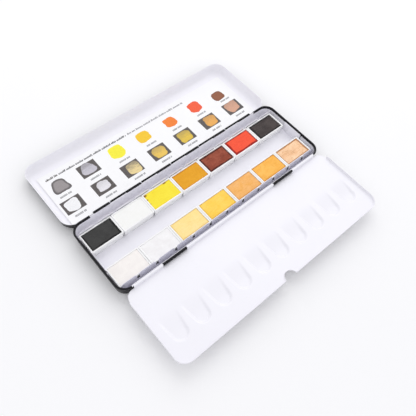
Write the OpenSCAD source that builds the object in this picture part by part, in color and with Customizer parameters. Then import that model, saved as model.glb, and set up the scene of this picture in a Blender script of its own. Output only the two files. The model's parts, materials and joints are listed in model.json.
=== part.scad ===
// Watercolour pan set: a long, low metal box, shown open and flat.
// A lid with a colour card folds back from the rear wall, and a mixing palette
// folds out from the front wall. A lift-out sheet-metal insert holds two rows
// of full pans, each with its own cake of paint.
// X runs along the box, Y from the palette to the lid, Z up from the underside.

/* [Pans] */
// Length of one full pan over its lip, along the box
pan_length = 30.6; // [28:0.1:30.8]
// Width of one full pan over its lip, across the box
pan_width = 19.6; // [17:0.1:20]
// Height of one full pan
pan_height = 9.4; // [8:0.2:11]
// Height of the lip round the top of a pan
lip_height = 2.1; // [1:0.1:3]
// How far the lip stands out from the pan's sides
lip_step = 0.5; // [0.2:0.1:0.7]
// Width of the rim along the paint's long sides, from the lip's outside
pan_side_rim = 1.15; // [1:0.05:2.5]
// Width of the rim across the paint's ends, from the lip's outside
pan_end_rim = 1.3; // [1:0.05:2.5]
// Thickness of the bottom of a pan
pan_bottom = 1.2; // [0.8:0.1:2]
// Distance from one pan to the next along a row
pan_pitch = 31; // [31:0.5:34]
// Number of pans in each of the two rows
pans_per_row = 7; // [4:1:8]
// How far the paint lies below the top of its pan
paint_drop = 0.45; // [0.3:0.05:3]
// Width of the open channel between the two rows
channel_width = 17.2; // [12:0.1:24]

/* [Sheet metal] */
// Thickness of the sheet of the base, lid and palette
sheet = 0.5; // [0.4:0.05:0.6]
// Thickness of the sheet of the insert
insert_sheet = 0.4; // [0.3:0.05:0.5]

/* [Base] */
// Depth of the base, over its front and back walls
base_depth = 70.1; // [69:0.1:76]
// Height of the base rim above the tops of the pans
rim_above_pans = 2.05; // [1.2:0.05:4]
// Radius of the base's upright corners
base_corner_r = 9; // [8:0.5:10]
// Radius of the base's bottom edge
base_edge_r = 2; // [1:0.25:2]
// Radius of the rolled rim
bead_r = 0.9; // [0.7:0.05:1]

/* [Insert] */
// Number of spring tabs along each side of the insert
tab_count = 12; // [8:1:14]
// Distance from one tab to the next
tab_pitch = 18.6; // [14:0.1:18.6]
// Width of the slot between two tabs
slot_width = 1.5; // [1:0.1:2]
// Depth of the slot between two tabs
slot_depth = 4.9; // [3:0.1:6]
// Width of the upright flange at each end of the insert
end_flange_width = 21; // [10:1:30]

/* [Hinges] */
// Outer radius of the rolled hinge knuckles
knuckle_r = 1.05; // [1:0.05:1.2]
// Radius of the wire hinge pins
pin_r = 0.6; // [0.5:0.05:0.65]
// Number of knuckles in the lid hinge
lid_knuckles = 11; // [5:2:15]
// Length of each of the two base knuckles in the palette hinge
base_knuckle_length = 23.6; // [16:0.2:30]

/* [Lid] */
// Depth of the lid, rim to outer face
lid_height = 9.8; // [8:0.1:10]
// Radius of the soft edge between the lid's walls and its floor
lid_edge_r = 5; // [3:0.5:5]
// Length of the colour card
card_length = 211; // [150:1:212]
// Width of the colour card
card_width = 58; // [40:1:60]

/* [Palette] */
// Distance from the palette hinge to the palette's front edge
palette_reach = 71.5; // [66:0.5:71.5]
// Height of the palette's turned-up rim above its sheet
palette_rim = 2.4; // [1.5:0.1:2.6]
// Number of slanted mixing wells
well_count = 10; // [4:1:10]
// Distance from one mixing well to the next
well_pitch = 21.3; // [16:0.1:21.5]
// Radius of the round end of a mixing well
well_r = 7.3; // [5:0.1:7.5]
// Width of a mixing well at its open end
well_width = 19; // [15:0.5:19]
// Depth of a mixing well at its round end
well_depth = 1.8; // [0.8:0.1:2.2]
// Length of a mixing well
well_length = 25.5; // [22:0.5:28]
// Radius of the finger notch in the palette's front edge
notch_r = 6.5; // [5:0.5:8]

/* [Hidden] */
$fn = 64;
eps = 0.01;
inf = 400; // longer than the whole box, for cuts that run right through

// Small gaps: between parts that lie on each other, between the folded
// shells of the closed box, and round a hinge pin.
rest_gap = 0.05;
fold_gap = 0.15;
pin_clearance = 0.05;

// Hollow of a pan, in plan
paint_length = pan_length - 2 * pan_end_rim;
paint_width = pan_width - 2 * pan_side_rim;

// Insert, in plan
row_slack = 1;
end_slack = 1.9;
insert_length = pans_per_row * pan_pitch + 2 * end_slack;
insert_depth = 2 * pan_width + channel_width + 2 * row_slack;
insert_corner_r = 5;

// Base, in plan
end_gap = 0.6;
base_length = insert_length + 2 * (end_gap + sheet);

// The insert lies loose in the base, pushed towards the palette, and the
// rows of pans stand at the left end of the insert
insert_y = -1.75;
rows_x = -insert_length / 2 + insert_sheet + 0.13;
rows_y = insert_y - insert_depth / 2 + insert_sheet + 0.55;

// Heights above the surface that the box stands on
insert_z = sheet + 0.4;
pan_z = insert_z + insert_sheet + rest_gap;
pan_top = pan_z + pan_height;
rim_z = pan_top + rim_above_pans;
tab_top = rim_z - 0.4;
end_flange_top = pan_top - 1;

// Hinge lines. The lid's knuckles stay just below the base's rim, so the
// folded palette clears them. The palette's line is higher, so the folded
// palette lies rim to rim on the base.
hinge_y = base_depth / 2 + fold_gap + knuckle_r;
lid_hinge_z = rim_z - knuckle_r - rest_gap;
palette_z = rim_z - 3.2;
palette_top = palette_z + sheet;
palette_rim_z = palette_top + palette_rim;
palette_hinge_z = (rim_z + fold_gap + palette_rim_z) / 2;
pin_bore_r = pin_r + pin_clearance;

// Lid hinge: knuckles of equal length, base and lid in turn
lid_hinge_length = 178;
bead_end_gap = 4; // from the lid hinge to the start of the rolled rim
knuckle_gap = 0.35;
lid_knuckle_pitch = lid_hinge_length / lid_knuckles;

// Palette hinge: three palette knuckles with two base knuckles between them
palette_hinge_length = 202.8;
base_knuckle_x = 61.3;

// Palette, in plan: its turned-up rim folds onto the base's rolled rim
palette_length = base_length + 0.6;
palette_corner_r = 10;
palette_edge_r = 1;
palette_back_r = 8;
palette_back = hinge_y + 0.3;
palette_front = hinge_y + palette_reach;
rim_start = hinge_y + 8.4;
plate_inset = 0.6;
well_start = 67;
well_wall = 0.5;

// Lid, in plan. Shut, it covers the folded palette: one long wall stands just
// outside the palette's free edge, the other just outside its knuckles.
lid_length = palette_length + 3.8;
lid_rim_z = 2 * lid_hinge_z - rim_z - fold_gap;
lid_z = lid_rim_z - lid_height;
lid_near = unfold(palette_front - 2 * hinge_y + 0.2);
lid_far = unfold(-hinge_y - knuckle_r - fold_gap - sheet);
lid_corner_r = 11.5;

// Where a point of the shut lid lies when the lid is open
function unfold(y) = 2 * hinge_y - y;

// Card, lying on the lid's floor
card_thickness = 0.3;
card_corner_r = 1.5;
card_x = -0.8;
card_y = lid_near + lid_edge_r - sheet + 0.2;

// Colours
enamel_black = "#17171b";
enamel_white = "#ebe9f6";
steel = "#b9bcc4";
pan_white = "#fbfbfb";
card_white = "#f6f5f8";
back_paints = [
    "#3e3f3d", "#f8f8f5", "#fae128", "#eba523",
    "#a54b32", "#ff5f3c", "#463e3e", "#5a6a8c"
];
front_paints = [
    "#f6f3ee", "#f3f1f0", "#fce196", "#fdd25a",
    "#f5b45a", "#fab955", "#f8d2a0", "#c9a27a"
];

pan_numbers = [1:pans_per_row];

// ---- Shared shapes ----

// A flat block with round upright corners, centred on Z
module rounded_block(length, depth, height, r) {
    translate([-length / 2, -depth / 2 + r, 0])
        cube([length, depth - 2 * r, height]);
    translate([-length / 2 + r, -depth / 2, 0])
        cube([length - 2 * r, depth, height]);
    for (x = [-1, 1], y = [-1, 1])
        translate([x * (length / 2 - r), y * (depth / 2 - r), 0])
            cylinder(r = r, h = height);
}

// A quarter ring of round wire, about Z
module quarter_ring(ring_r, wire_r) {
    rotate_extrude(angle = 90)
        translate([ring_r, 0])
            circle(r = wire_r, $fn = 32);
}

// A round bar along X from x0 to x1
module bar_x(x0, x1, r) {
    translate([x0, 0, 0])
        rotate([0, 90, 0])
            cylinder(r = r, h = x1 - x0, $fn = 48);
}

// Puts its children in the four corners of a rectangle, each turned outwards
module in_corners(half_length, half_depth) {
    for (turn = [0, 90, 180, 270]) {
        x = (turn == 0 || turn == 270) ? half_length : -half_length;
        y = (turn < 180) ? half_depth : -half_depth;
        translate([x, y, 0])
            rotate([0, 0, turn])
                children();
    }
}

// A solid block with round upright corners and a round bottom edge
module soft_block(length, depth, height, corner_r, edge_r) {
    straight_x = length / 2 - corner_r;
    straight_y = depth / 2 - corner_r;
    translate([0, 0, edge_r])
        rounded_block(length, depth, height - edge_r, corner_r);
    rounded_block(length - 2 * edge_r, depth - 2 * edge_r, edge_r + eps, corner_r - edge_r);
    translate([0, 0, edge_r]) {
        for (side = [-1, 1]) {
            translate([0, side * (depth / 2 - edge_r), 0])
                bar_x(-straight_x, straight_x, edge_r);
            translate([side * (length / 2 - edge_r), 0, 0])
                rotate([0, 0, 90])
                    bar_x(-straight_y, straight_y, edge_r);
        }
        in_corners(straight_x, straight_y)
            quarter_ring(corner_r - edge_r, edge_r);
    }
}

// A thin-walled tray, open at the top
module sheet_tray(length, depth, height, corner_r, edge_r) {
    difference() {
        soft_block(length, depth, height, corner_r, edge_r);
        translate([0, 0, sheet])
            soft_block(
                length - 2 * sheet,
                depth - 2 * sheet,
                height,
                corner_r - sheet,
                edge_r - sheet
            );
    }
}

// ---- Hinge knuckles ----

// The start of lid-hinge knuckle i, counted from the left end
function lid_knuckle_start(i) = -lid_hinge_length / 2 + i * lid_knuckle_pitch + knuckle_gap / 2;

// The lid hinge's knuckles from number "first" on, every second one, each with
// a strip that joins it to its wall: strip is [y, z, depth, height]
module lid_hinge_knuckles(first, strip) {
    length = lid_knuckle_pitch - knuckle_gap;
    for (i = [first:2:lid_knuckles - 1]) {
        x = lid_knuckle_start(i);
        translate([0, hinge_y, lid_hinge_z])
            bar_x(x, x + length, knuckle_r);
        translate([x, strip[0], strip[1]])
            cube([length, strip[2], strip[3]]);
    }
}

module palette_hinge_knuckle(x0, x1, strip) {
    translate([0, -hinge_y, palette_hinge_z])
        bar_x(x0, x1, knuckle_r);
    translate([x0, strip[0], strip[1]])
        cube([x1 - x0, strip[2], strip[3]]);
}

// The two through bores that the hinge pins run in
module hinge_bores() {
    translate([0, hinge_y, lid_hinge_z])
        bar_x(-lid_hinge_length / 2 - 1, lid_hinge_length / 2 + 1, pin_bore_r);
    translate([0, -hinge_y, palette_hinge_z])
        bar_x(-palette_hinge_length / 2 - 1, palette_hinge_length / 2 + 1, pin_bore_r);
}

// ---- Base ----

// The rolled rim at the ends and round the corners, clear of both hinges
module base_bead() {
    ring_r = base_corner_r + bead_r - sheet;
    straight_x = base_length / 2 - base_corner_r;
    straight_y = base_depth / 2 - base_corner_r;
    translate([0, 0, rim_z - bead_r]) {
        in_corners(straight_x, straight_y)
            quarter_ring(ring_r, bead_r);
        for (side = [-1, 1])
            translate([side * (straight_x + ring_r), 0, 0])
                rotate([0, 0, 90])
                    bar_x(-straight_y, straight_y, bead_r);
        for (side = [-1, 1]) {
            near = lid_hinge_length / 2 + bead_end_gap;
            translate([0, straight_y + ring_r, 0])
                bar_x(min(side * near, side * straight_x), max(side * near, side * straight_x), bead_r);
        }
    }
}

module base_tray() {
    wall_y = base_depth / 2 - sheet / 2;
    lid_strip = [wall_y, lid_hinge_z - 0.9, hinge_y - pin_bore_r - wall_y, 1.8];
    palette_strip = [pin_bore_r - hinge_y, palette_hinge_z - 2, hinge_y - pin_bore_r - wall_y, 1.8];
    color(enamel_black)
        difference() {
            union() {
                sheet_tray(base_length, base_depth, rim_z, base_corner_r, base_edge_r);
                base_bead();
                lid_hinge_knuckles(0, lid_strip);
                for (side = [-1, 1])
                    palette_hinge_knuckle(
                        side * base_knuckle_x - base_knuckle_length / 2,
                        side * base_knuckle_x + base_knuckle_length / 2,
                        palette_strip
                    );
            }
            hinge_bores();
        }
}

// ---- Insert ----

// The slot between two tabs, with the tabs' round shoulders
module tab_slot() {
    shoulder = 2;
    deep = insert_sheet + 2;
    translate([-slot_width / 2, -deep / 2, -slot_depth + slot_width / 2])
        cube([slot_width, deep, slot_depth + 1]);
    translate([0, deep / 2, -slot_depth + slot_width / 2])
        rotate([90, 0, 0])
            cylinder(r = slot_width / 2, h = deep, $fn = 32);
    difference() {
        translate([-slot_width / 2 - shoulder, -deep / 2, -shoulder])
            cube([slot_width + 2 * shoulder, deep, shoulder + 1]);
        for (side = [-1, 1])
            translate([side * (slot_width / 2 + shoulder), deep / 2 + 1, -shoulder])
                rotate([90, 0, 0])
                    cylinder(r = shoulder, h = deep + 2, $fn = 32);
    }
}

// One side wall of the insert, cut into spring tabs
module tab_wall() {
    wall_length = insert_length - 4;
    difference() {
        translate([-wall_length / 2, -insert_sheet, insert_z])
            cube([wall_length, insert_sheet, tab_top - insert_z]);
        for (i = [1:tab_count - 1])
            translate([(i - tab_count / 2) * tab_pitch, -insert_sheet / 2, tab_top])
                tab_slot();
    }
}

module insert_tray() {
    color(enamel_white)
        translate([0, insert_y, 0]) {
            translate([0, 0, insert_z])
                rounded_block(insert_length, insert_depth, insert_sheet, insert_corner_r);
            translate([0, insert_depth / 2, 0])
                tab_wall();
            translate([0, -insert_depth / 2 + insert_sheet, 0])
                tab_wall();
            for (side = [-1, 1])
                translate([side * (insert_length - insert_sheet) / 2, 0, 0])
                    translate([-insert_sheet / 2, -end_flange_width / 2, insert_z])
                        cube([insert_sheet, end_flange_width, end_flange_top - insert_z]);
        }
}

// ---- Pans and paint ----

// The low front-left corner of pan i in its row
function pan_corner(row, i) = [
    rows_x + (i - 1) * pan_pitch,
    rows_y + (row == "back" ? pan_width + channel_width : 0),
    pan_z
];

module pan(row, i) {
    color(pan_white)
        translate(pan_corner(row, i) + [pan_length / 2, pan_width / 2, 0])
            difference() {
                union() {
                    rounded_block(pan_length - 2 * lip_step, pan_width - 2 * lip_step, pan_height, 1);
                    translate([0, 0, pan_height - lip_height])
                        rounded_block(pan_length, pan_width, lip_height, 1.2);
                }
                translate([0, 0, pan_bottom])
                    rounded_block(paint_length, paint_width, pan_height, 0.8);
            }
}

module paint(row, i) {
    colours = (row == "back") ? back_paints : front_paints;
    color(colours[i - 1])
        translate(pan_corner(row, i) + [pan_length / 2, pan_width / 2, pan_bottom + rest_gap / 2])
            rounded_block(
                paint_length - rest_gap,
                paint_width - rest_gap,
                pan_height - pan_bottom - paint_drop,
                0.75
            );
}

// ---- Lid and card ----

module lid() {
    wall_y = lid_near - sheet;
    depth = lid_far - wall_y;
    middle = lid_far - depth / 2;
    strip = [wall_y, lid_rim_z - 0.3, sheet, lid_hinge_z - pin_bore_r - lid_rim_z + 0.25];
    color(enamel_black)
        difference() {
            union() {
                translate([0, middle, lid_z])
                    sheet_tray(lid_length, depth, lid_height, lid_corner_r, lid_edge_r);
                lid_hinge_knuckles(1, strip);
            }
            hinge_bores();
        }
}

module colour_card() {
    color(card_white)
        translate([card_x, card_y + card_width / 2, lid_z + sheet + rest_gap])
            rounded_block(card_length, card_width, card_thickness, card_corner_r);
}

// ---- Palette ----

// A slanted, round-ended channel, wider at its open end: its floor starts
// level on the hinge side and is deepest at the round end
module well_shape(wall, above) {
    r = well_r + wall;
    open_half = well_width / 2 + wall;
    round_y = well_r - well_length;
    depth = well_depth + wall;
    slope = atan(well_depth / well_length);
    difference() {
        translate([0, 0, -depth])
            linear_extrude(depth + above) {
                translate([0, round_y])
                    circle(r = r, $fn = 48);
                polygon([[-r, round_y], [r, round_y], [open_half, 0], [-open_half, 0]]);
            }
        translate([0, 0, well_depth - depth])
            rotate([slope, 0, 0])
                translate([-inf / 2, -inf / 2, -inf])
                    cube([inf, inf, inf]);
    }
}

module palette_plate() {
    plate_length = palette_length - 2 * plate_inset;
    plate_depth = 40;
    translate([0, -palette_back - plate_depth / 2, palette_z])
        rounded_block(plate_length, plate_depth, sheet, palette_back_r);
}

// The turned-up rim, cut off short of the hinge
module palette_tray() {
    depth = palette_front;
    difference() {
        translate([0, -palette_front + depth / 2, palette_z])
            sheet_tray(palette_length, depth, sheet + palette_rim, palette_corner_r, palette_edge_r);
        translate([-inf / 2, -rim_start, palette_z - 1])
            cube([inf, inf, palette_rim + 5]);
    }
}

module mixing_palette() {
    strip = [-hinge_y - 0.75, palette_z, 0.45, palette_hinge_z - pin_bore_r - palette_z - 0.05];
    inner = base_knuckle_x - base_knuckle_length / 2 - knuckle_gap;
    outer = base_knuckle_x + base_knuckle_length / 2 + knuckle_gap;
    end = palette_hinge_length / 2;
    color(enamel_white)
        difference() {
            union() {
                palette_plate();
                palette_tray();
                palette_hinge_knuckle(-end, -outer, strip);
                palette_hinge_knuckle(-inner, inner, strip);
                palette_hinge_knuckle(outer, end, strip);
                for (i = [0:well_count - 1])
                    translate([(i - (well_count - 1) / 2) * well_pitch, -well_start, palette_top])
                        well_shape(well_wall, -eps);
            }
            for (i = [0:well_count - 1])
                translate([(i - (well_count - 1) / 2) * well_pitch, -well_start, palette_top])
                    well_shape(0, 1);
            translate([0, -palette_front, palette_z - 5])
                cylinder(r = notch_r, h = 12);
            hinge_bores();
        }
}

// ---- Hinge pins ----

module lid_hinge_pin() {
    reach = lid_hinge_length / 2 - 0.4;
    color(steel)
        translate([0, hinge_y, lid_hinge_z])
            bar_x(-reach, reach, pin_r);
}

module palette_hinge_pin() {
    reach = palette_hinge_length / 2 - 0.4;
    color(steel)
        translate([0, -hinge_y, palette_hinge_z])
            bar_x(-reach, reach, pin_r);
}

base_tray();
insert_tray();
lid();
mixing_palette();
lid_hinge_pin();
palette_hinge_pin();
colour_card();
for (i = pan_numbers) {
    pan("back", i);
    pan("front", i);
    paint("back", i);
    paint("front", i);
}
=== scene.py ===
"""Watercolour pan set: the looks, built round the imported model.

Sizes in this script are millimetres until a mesh is made: MM turns them into metres.
"""

import json
import math
import random

import bpy
import numpy as np
from mathutils import Matrix, Vector, noise


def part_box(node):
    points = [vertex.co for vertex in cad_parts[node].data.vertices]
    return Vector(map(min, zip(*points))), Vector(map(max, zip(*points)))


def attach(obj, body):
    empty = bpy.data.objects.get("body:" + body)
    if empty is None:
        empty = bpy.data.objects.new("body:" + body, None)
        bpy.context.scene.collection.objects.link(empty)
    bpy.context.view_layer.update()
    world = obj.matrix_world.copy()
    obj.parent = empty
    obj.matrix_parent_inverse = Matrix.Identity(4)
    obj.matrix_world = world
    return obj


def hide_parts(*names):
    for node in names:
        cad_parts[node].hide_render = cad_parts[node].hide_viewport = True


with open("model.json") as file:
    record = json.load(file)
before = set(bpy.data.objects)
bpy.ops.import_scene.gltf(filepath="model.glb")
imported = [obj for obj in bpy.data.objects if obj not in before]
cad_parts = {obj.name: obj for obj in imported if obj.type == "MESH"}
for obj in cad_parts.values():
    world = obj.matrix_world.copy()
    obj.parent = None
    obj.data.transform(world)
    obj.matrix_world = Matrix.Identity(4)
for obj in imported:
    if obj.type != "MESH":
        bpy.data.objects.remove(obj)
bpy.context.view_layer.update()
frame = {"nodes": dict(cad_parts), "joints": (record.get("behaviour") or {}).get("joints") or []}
MM = 0.001


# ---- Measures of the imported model, in millimetres ----


def box(node):
    """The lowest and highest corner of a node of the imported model."""
    low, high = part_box(node)
    return np.array(low) / MM, np.array(high) / MM


JOINTS = {
    joint["name"]: np.array(joint.get("pos_m") or (0, 0, 0)) / MM for joint in frame["joints"]
}
LID_HINGE = JOINTS["lid_hinge"]
PALETTE_HINGE = JOINTS["palette_hinge"]
SHEET = 0.5
BEAD_R = 0.9
KNUCKLE_R = 1.05
# A little over the model's, as thick as they look in the photo
LID_KNUCKLE_R = 1.18
KNUCKLE_BORE = 0.65
KNUCKLE_GAP = 0.35
# Between the shells of the shut box
FOLD_GAP = 0.15
# From a hinge line to the near edge of its leaf
LEAF_START = 0.3

BASE_HIGH = box("base_tray")[1]
LID_LOW, LID_HIGH = box("lid")
PALETTE_LOW, PALETTE_HIGH = box("mixing_palette")
INSERT_LOW, INSERT_HIGH = box("insert_tray")
CARD_LOW, CARD_HIGH = box("colour_card")
ROWS = ("back", "front")
PAN_NUMBERS = range(1, 8)

# Straight walls of the base and the lid, without beads and knuckles
BEAD_OUT = 2 * BEAD_R - SHEET
BASE_HALF = np.array([BASE_HIGH[0] - BEAD_OUT, LID_HINGE[1] - KNUCKLE_R - FOLD_GAP])
BASE_RIM = PALETTE_HINGE[2] + FOLD_GAP / 2
LID_NEAR = LID_HINGE[1] + LEAF_START
LID_RIM = 2 * LID_HINGE[2] - BASE_RIM - FOLD_GAP
LID_HINGE_HALF = 89.0
PALETTE_HINGE_HALF = 101.4
BASE_KNUCKLE_X = 61.3
BASE_KNUCKLE_HALF = 11.8


# ---- Camera ----

CAMERA_AZIMUTH = math.radians(-48.46)
CAMERA_ELEVATION = math.radians(58.82)
CAMERA_ROLL = math.radians(8.83)
CAMERA_TARGET = Vector((-10.88, -18.22, 10.75)) * MM
CAMERA_DISTANCE = 0.4095
CAMERA_LENS = 41.84
SENSOR_WIDTH = 36


def new_object(name, data):
    """A new object in the scene."""
    item = bpy.data.objects.new(name, data)
    bpy.context.scene.collection.objects.link(item)
    return item


def make_camera():
    """A camera that looks at the target from its azimuth and elevation, turned by its roll."""
    flat = math.cos(CAMERA_ELEVATION)
    back = Vector((
        math.sin(CAMERA_AZIMUTH) * flat,
        -math.cos(CAMERA_AZIMUTH) * flat,
        math.sin(CAMERA_ELEVATION),
    ))
    level = Vector((0, 0, 1)).cross(back).normalized()
    upright = back.cross(level)
    right = math.cos(CAMERA_ROLL) * level + math.sin(CAMERA_ROLL) * upright
    up = math.cos(CAMERA_ROLL) * upright - math.sin(CAMERA_ROLL) * level
    data = bpy.data.cameras.new("camera")
    data.lens = CAMERA_LENS
    data.sensor_width = SENSOR_WIDTH
    camera = new_object("camera", data)
    turn = Matrix((right, up, back)).transposed().to_4x4()
    camera.matrix_world = Matrix.Translation(CAMERA_TARGET + back * CAMERA_DISTANCE) @ turn
    bpy.context.scene.camera = camera


# ---- Materials ----


def linear(red, green, blue):
    """A colour of 0 to 255 a channel, as it looks on screen, in linear light."""
    channels = []
    for value in (red, green, blue):
        value = value / 255
        low = value <= 0.04045
        channels.append(value / 12.92 if low else ((value + 0.055) / 1.055) ** 2.4)
    return (*channels, 1)


def scaled(colour, factor):
    """The colour made darker or lighter by a factor."""
    return (*[min(1, channel * factor) for channel in colour[:3]], 1)


class Shader:
    """A material and short ways to add nodes to it."""

    def __init__(self, name, **inputs):
        self.material = bpy.data.materials.new(name)
        self.material.use_nodes = True
        self.tree = self.material.node_tree
        self.bsdf = self.tree.nodes["Principled BSDF"]
        self.place = self.tree.nodes.new("ShaderNodeTexCoord").outputs["Object"]
        self.normal = None
        for key, value in inputs.items():
            socket = key.replace("_", " ").title().replace("Ior", "IOR")
            self.bsdf.inputs[socket].default_value = value

    def put(self, value, socket):
        """Gives the socket a fixed value, or a link from another socket."""
        if isinstance(value, bpy.types.NodeSocket):
            self.tree.links.new(value, socket)
        else:
            socket.default_value = value

    def add(self, kind, output, **inputs):
        """An output of a new node with these inputs."""
        node = self.tree.nodes.new("ShaderNode" + kind)
        for key, value in inputs.items():
            self.put(value, node.inputs[key.replace("_", " ")])
        return node.outputs[output]

    def noise(self, scale, detail=3, roughness=0.5, stretch=None, distortion=0):
        place = self.place
        if stretch:
            place = self.add("Mapping", "Vector", Vector=place, Scale=stretch)
        return self.add(
            "TexNoise", "Fac", Vector=place, Scale=scale, Detail=detail,
            Roughness=roughness, Distortion=distortion,
        )

    def attribute(self, name):
        """A value that the mesh holds at each vertex."""
        node = self.tree.nodes.new("ShaderNodeAttribute")
        node.attribute_name = name
        return node.outputs["Fac"]

    def span(self, source, from_low, from_high, to_low=0.0, to_high=1.0):
        """The source, stretched from one range to another."""
        return self.add(
            "MapRange", "Result", Value=source, From_Min=from_low, From_Max=from_high,
            To_Min=to_low, To_Max=to_high,
        )

    def mix(self, factor, first, second):
        """From the first colour to the second, each a fixed colour or a socket."""
        node = self.tree.nodes.new("ShaderNodeMix")
        node.data_type = "RGBA"
        for socket, value in ((0, factor), (6, first), (7, second)):
            self.put(value, node.inputs[socket])
        return node.outputs[2]

    def colour(self, source):
        self.put(source, self.bsdf.inputs["Base Color"])

    def clouds(self, source, colour, factor):
        """The colour, with patches of it scaled by a factor."""
        patches = self.span(source, 0.35, 0.65)
        self.colour(self.mix(patches, colour, scaled(colour, factor)))

    def roughness(self, source, low, high):
        self.put(self.span(source, 0.3, 0.7, low, high), self.bsdf.inputs["Roughness"])

    def bump(self, height, strength, distance):
        """Relief on top of any earlier relief; distance is in millimetres."""
        inputs = {"Height": height, "Strength": strength, "Distance": distance * MM}
        if self.normal:
            inputs["Normal"] = self.normal
        self.normal = self.add("Bump", "Normal", **inputs)
        self.put(self.normal, self.bsdf.inputs["Normal"])


def enamel(name, colour, low, high, scuffs=0.02, shine=0.5, coat=0.2):
    """Sprayed enamel on tin: a slight orange peel, and patches darker by scuffs.

    Its roughness runs from low to high.
    """
    shader = Shader(name, specular_ior_level=shine, coat_weight=coat, coat_roughness=0.12)
    shader.clouds(shader.noise(28, 4), colour, 1 - scuffs)
    shader.roughness(shader.noise(160, 5, 0.65, (1, 6, 1)), low, high)
    shader.bump(shader.noise(900, 2), 0.12, 0.05)
    shader.bump(shader.noise(60, 2), 0.1, 0.25)
    return shader.material


def plastic(name, colour):
    """Moulded white plastic: a fine satin texture and faint handling marks."""
    shader = Shader(name, specular_ior_level=0.5, subsurface_weight=0.3, subsurface_scale=0.0015)
    shader.bsdf.inputs["Subsurface Radius"].default_value = (1, 1, 1)
    shader.clouds(shader.noise(150, 4), colour, 0.975)
    shader.roughness(shader.noise(400, 4, 0.6, (1, 4, 1)), 0.24, 0.42)
    shader.bump(shader.noise(2600, 2), 0.1, 0.03)
    return shader.material


def steel(name, colour):
    """Drawn steel wire with fine lengthwise lines."""
    shader = Shader(name, metallic=1.0)
    lines = shader.noise(900, 3, 0.6, (0.02, 1, 1))
    shader.clouds(lines, colour, 0.8)
    shader.roughness(lines, 0.25, 0.42)
    shader.bump(lines, 0.15, 0.02)
    return shader.material


def paper(name, colour):
    """Coated card: fine fibres and a slight cloudiness."""
    shader = Shader(name, specular_ior_level=0.35)
    fibres = shader.noise(1400, 5, 0.7, (1, 0.35, 1), 0.6)
    shader.clouds(shader.noise(45, 3), colour, 0.985)
    shader.roughness(fibres, 0.55, 0.72)
    shader.bump(fibres, 0.25, 0.03)
    return shader.material


def ink(name, colour):
    """Printed ink on card: it lets the fibres through here and there."""
    shader = Shader(name, specular_ior_level=0.3)
    fibres = shader.noise(1400, 5, 0.7, (1, 0.35, 1), 0.6)
    speckle = shader.span(shader.noise(700, 4, 0.7), 0.5, 0.75, 0, 0.12)
    shader.colour(shader.mix(speckle, colour, linear(225, 222, 222)))
    shader.roughness(fibres, 0.5, 0.66)
    shader.bump(fibres, 0.2, 0.03)
    return shader.material


def wash(name, colour, under, pearl, wet_edge, thin):
    """A brushed-out sample of paint: grain, streaks, a darker dried edge and thin places.

    wet_edge is how light the edge stays, and thin how much of under shows in thin places.
    """
    shader = Shader(name, specular_ior_level=0.4, metallic=0.25 * pearl)
    grain = shader.noise(1100, 4, 0.7)
    streaks = shader.noise(260, 4, 0.6, (1, 3.5, 1), 0.8)
    body = shader.mix(shader.span(grain, 0.35, 0.7), colour, scaled(colour, 0.86))
    body = shader.mix(shader.span(streaks, 0.4, 0.75, 0, 0.35), body, scaled(colour, 1.12))
    margin = shader.span(shader.attribute("margin"), 0.68, 0.88, 0, 0.95)
    body = shader.mix(margin, body, scaled(colour, wet_edge))
    if thin:
        node = shader.tree.nodes.new("ShaderNodeMath")
        shader.put(shader.attribute("far"), node.inputs[0])
        shader.put(shader.span(streaks, 0.2, 0.8, -0.5, 0.5), node.inputs[1])
        patchy = node.outputs["Value"]
        body = shader.mix(shader.span(patchy, 0.25, 0.95, 0, thin), body, under)
    shader.colour(body)
    shader.roughness(grain, 0.42 if pearl else 0.6, 0.6 if pearl else 0.8)
    shader.bump(grain, 0.25, 0.04)
    return shader.material


def cake(name, colour, dark, light, pearl, streak, smudge=None):
    """A cake of paint: pigment grain, brush marks, dark rims and, with pearl, a shimmer.

    streak is how dark its brush marks are, and smudge a colour that has run onto it.
    """
    shader = Shader(name, specular_ior_level=0.35, metallic=0.3 * pearl)
    grain = shader.noise(1500, 5, 0.7)
    clouds = shader.noise(120, 5, 0.6, None, 0.6)
    streaks = shader.noise(170, 5, 0.6, (1, 5, 1), 1.2)
    body = shader.mix(shader.span(clouds, 0.35, 0.65), colour, light)
    body = shader.mix(shader.span(streaks, 0.48, 0.72, 0, streak), body, dark)
    body = shader.mix(shader.span(grain, 0.45, 0.75, 0, 0.25), body, dark)
    if pearl:
        cells = shader.add("TexVoronoi", "Color", Vector=shader.place, Scale=2600)
        glints = shader.span(cells, 0.86, 0.99, 0, 0.55 * pearl)
        body = shader.mix(glints, body, scaled(light, 1.35))
    margin = shader.span(shader.attribute("margin"), 0.1, 0.5, 0, 0.95)
    body = shader.mix(margin, body, dark)
    if smudge:
        body = shader.mix(shader.attribute("smudge"), body, smudge)
    shader.colour(body)
    shader.roughness(grain, 0.4 if pearl else 0.58, 0.55 if pearl else 0.82)
    shader.bump(shader.noise(2400, 3, 0.6), 0.3, 0.03)
    shader.bump(streaks, 0.24, 0.12)
    return shader.material


# ---- Meshes ----


def make_piece(
    name, vertices, faces, materials, numbers=None, smooth_angle=32, attributes=None,
):
    """An object from millimetre vertices, smooth but for edges sharper than smooth_angle.

    numbers gives each face its material, and attributes hold a value at each vertex.
    """
    mesh = bpy.data.meshes.new(name)
    mesh.from_pydata((np.asarray(vertices) * MM).tolist(), [], faces)
    for material in materials:
        mesh.materials.append(material)
    if numbers is not None:
        mesh.polygons.foreach_set("material_index", np.asarray(numbers, dtype=np.int32))
    for key, values in (attributes or {}).items():
        layer = mesh.attributes.new(key, "FLOAT", "POINT")
        layer.data.foreach_set("value", np.asarray(values, dtype=np.float32))
    mesh.validate()
    mesh.polygons.foreach_set("use_smooth", [True] * len(mesh.polygons))
    mesh.set_sharp_from_angle(angle=math.radians(smooth_angle))
    return new_object(name, mesh)


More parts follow.
